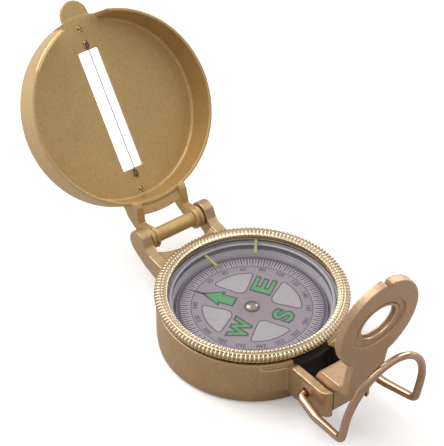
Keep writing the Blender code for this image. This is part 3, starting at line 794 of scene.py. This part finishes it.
def build_sight():
    """The sighting wire with its twisted ends, and the small pierced studs that hold it."""
    straight = [(0, y, SIGHT_WIRE_Z) for y in np.linspace(-SIGHT_WIRE_HALF, SIGHT_WIRE_HALF, 12)]
    wire = tube("sight_wire", straight, SIGHT_WIRE_RADIUS, STEEL, 10)
    finish_piece(on_lid(wire), "lid", "steel", "sighting_wire")
    profile = [
        (0.0, 24.7), (0.0, 23.5), (0.16, 23.42), (0.26, 23.2), (0.42, 23.12), (0.6, 23.2),
        (0.68, 23.4), (0.68, 23.8), (0.5, 23.9), (0.5, 24.7),
    ]
    for label, end in (("front", -1), ("rear", 1)):
        for kind, distance in (("clamp", 19.8), ("rivet", 24.1)):
            stud = lathe(f"{kind}_stud_{label}", profile, STUD, 28, None, 50.0)
            stud.data.transform(Matrix.Translation((0, end * distance * MM, 0)))
            finish_piece(on_lid(stud), "lid", "steel", f"wire_{kind}_{label}")
        turns = []
        for i in range(61):
            angle = FULL * i / 60
            along = 19.1 - 1.0 * math.cos(angle)
            turns.append((0.42 * math.sin(angle), end * along, 23.28 - 0.12 * math.sin(angle / 2)))
        knot = tube(f"wire_knot_{label}", turns, SIGHT_WIRE_RADIUS, STEEL_DARK, 10)
        finish_piece(on_lid(knot), "lid", "steel")


def repaint():
    """CAD nodes whose shape is right get their material here."""
    paints = {
        "lid_hinge_pin": BRASS,
        "eyepiece_hinge_pin": BRASS,
        "pivot_pin": STEEL,
        "capsule_gasket": RUBBER,
        "fixed_index_line": GLOW,
        "bezel_index_line": GLOW,
        "bezel_snap_ring": STEEL,
        "bezel_wave_spring": STEEL,
        "bar_magnet": STEEL,
        "jewel_cup": BRASS,
        "magnifier_lens": LENS,
        "lens_retaining_ring": BRONZE_PAINT,
    }
    for name, material in paints.items():
        mesh = nodes[name].data
        mesh.materials.clear()
        mesh.materials.append(material)


# ---------------------------------------------------------------- floor, light, camera


FLOOR_SIZE = 3.0  # metres, as are the places and sizes below
FLOOR_GAP = 0.0002
MIRROR_SLOPE = (0.6, 0.8)
WORLD_STRENGTH = 0.95
WORLD_STOPS = ((0.0, 0.50), (0.10, 0.32), (0.35, 0.62), (0.75, 0.86))
LIGHT_AIM = (0, 0, 0.02)


def build_stage():
    """A white floor. What it sends into reflections is darker, and paler along MIRROR_SLOPE."""
    bpy.ops.mesh.primitive_plane_add(size=FLOOR_SIZE, location=(0, 0, -FLOOR_GAP))
    floor = bpy.context.active_object
    floor.name = "studio_floor"
    tree = Tree("floor_white")
    seen = tree.add("ShaderNodeLightPath").outputs["Is Camera Ray"]
    split = tree.add("ShaderNodeSeparateXYZ")
    tree.put(split.inputs["Vector"], tree.place)
    across = tree.maths("MULTIPLY", split.outputs["X"], MIRROR_SLOPE[0])
    behind = tree.maths("ADD", across, tree.maths("MULTIPLY", split.outputs["Y"], MIRROR_SLOPE[1]))
    reach = tree.maths("ADD", tree.maths("MULTIPLY", behind, 2.5), 0.5)
    mirrored = tree.ramp(
        reach,
        (0.35, (0.37, 0.335, 0.31)),
        (0.62, (0.60, 0.58, 0.60)),
        (0.9, (0.95, 0.93, 0.96)),
    )
    tree.set(Base_Color=tree.mix(seen, mirrored, (0.93, 0.93, 0.93)), Roughness=0.8)
    tree.set(Emission_Color=(1.0, 1.0, 1.0), Emission_Strength=tree.maths("MULTIPLY", seen, 0.18))
    floor.data.materials.append(tree.material)


def area_light(name, place, size, power):
    """A soft rectangular light aimed at the dial."""
    data = bpy.data.lights.new(name, "AREA")
    data.shape = "RECTANGLE"
    data.size, data.size_y = size
    data.energy = power
    lamp = bpy.data.objects.new(name, data)
    scene.collection.objects.link(lamp)
    lamp.location = place
    lamp.rotation_euler = (Vector(LIGHT_AIM) - Vector(place)).to_track_quat("-Z", "Y").to_euler()


def build_light():
    """An even studio round the object, brighter overhead, with two soft lamps."""
    world = bpy.data.worlds.new("studio")
    scene.world = world
    world.use_nodes = True
    tree = world.node_tree
    background = tree.nodes["Background"]
    coordinate = tree.nodes.new("ShaderNodeTexCoord")
    split = tree.nodes.new("ShaderNodeSeparateXYZ")
    ramp = tree.nodes.new("ShaderNodeValToRGB")
    tree.links.new(coordinate.outputs["Generated"], split.inputs["Vector"])
    tree.links.new(split.outputs["Z"], ramp.inputs["Fac"])
    tree.links.new(ramp.outputs["Color"], background.inputs["Color"])
    background.inputs["Strength"].default_value = WORLD_STRENGTH
    while len(ramp.color_ramp.elements) < len(WORLD_STOPS):
        ramp.color_ramp.elements.new(0.5)
    for element, (position, grey) in zip(ramp.color_ramp.elements, WORLD_STOPS):
        element.position = position
        element.color = (grey, 0.985 * grey, 0.975 * grey, 1)
    area_light("key", (-0.20, 0.36, 0.55), (0.5, 0.5), 3.2)
    area_light("side", (0.6, 0.1, 0.35), (0.3, 0.5), 1.6)


def build_camera():
    """The camera at the photograph's viewing angle."""
    azimuth, elevation, roll = (math.radians(v) for v in (CAMERA_AZIMUTH, CAMERA_ELEVATION, CAMERA_ROLL))
    level = math.cos(elevation)
    back = Vector((math.sin(azimuth) * level, -math.cos(azimuth) * level, math.sin(elevation)))
    right = Vector((math.cos(azimuth), math.sin(azimuth), 0))
    up = back.cross(right)
    across, over, height = CAMERA_AIM
    place = (Vector((0, 0, height)) + right * across + up * over + back * CAMERA_DISTANCE) * MM
    turned_right = right * math.cos(roll) + up * math.sin(roll)
    turned_up = up * math.cos(roll) - right * math.sin(roll)
    data = bpy.data.cameras.new("camera")
    data.lens = CAMERA_LENS
    data.sensor_width = CAMERA_SENSOR
    data.clip_start = 0.01
    camera = bpy.data.objects.new("camera", data)
    scene.collection.objects.link(camera)
    camera.matrix_world = Matrix(
        [
            (turned_right.x, turned_up.x, back.x, place.x),
            (turned_right.y, turned_up.y, back.y, place.y),
            (turned_right.z, turned_up.z, back.z, place.z),
            (0, 0, 0, 1),
        ]
    )
    scene.camera = camera


build_metal()
build_bezel()
build_capsule()
build_card()
print_petals()
print_cardinals()
print_degrees()
build_hub()
build_wire()
build_sight()
repaint()
build_stage()
build_light()
build_camera()
scene.view_settings.view_transform = "Standard"
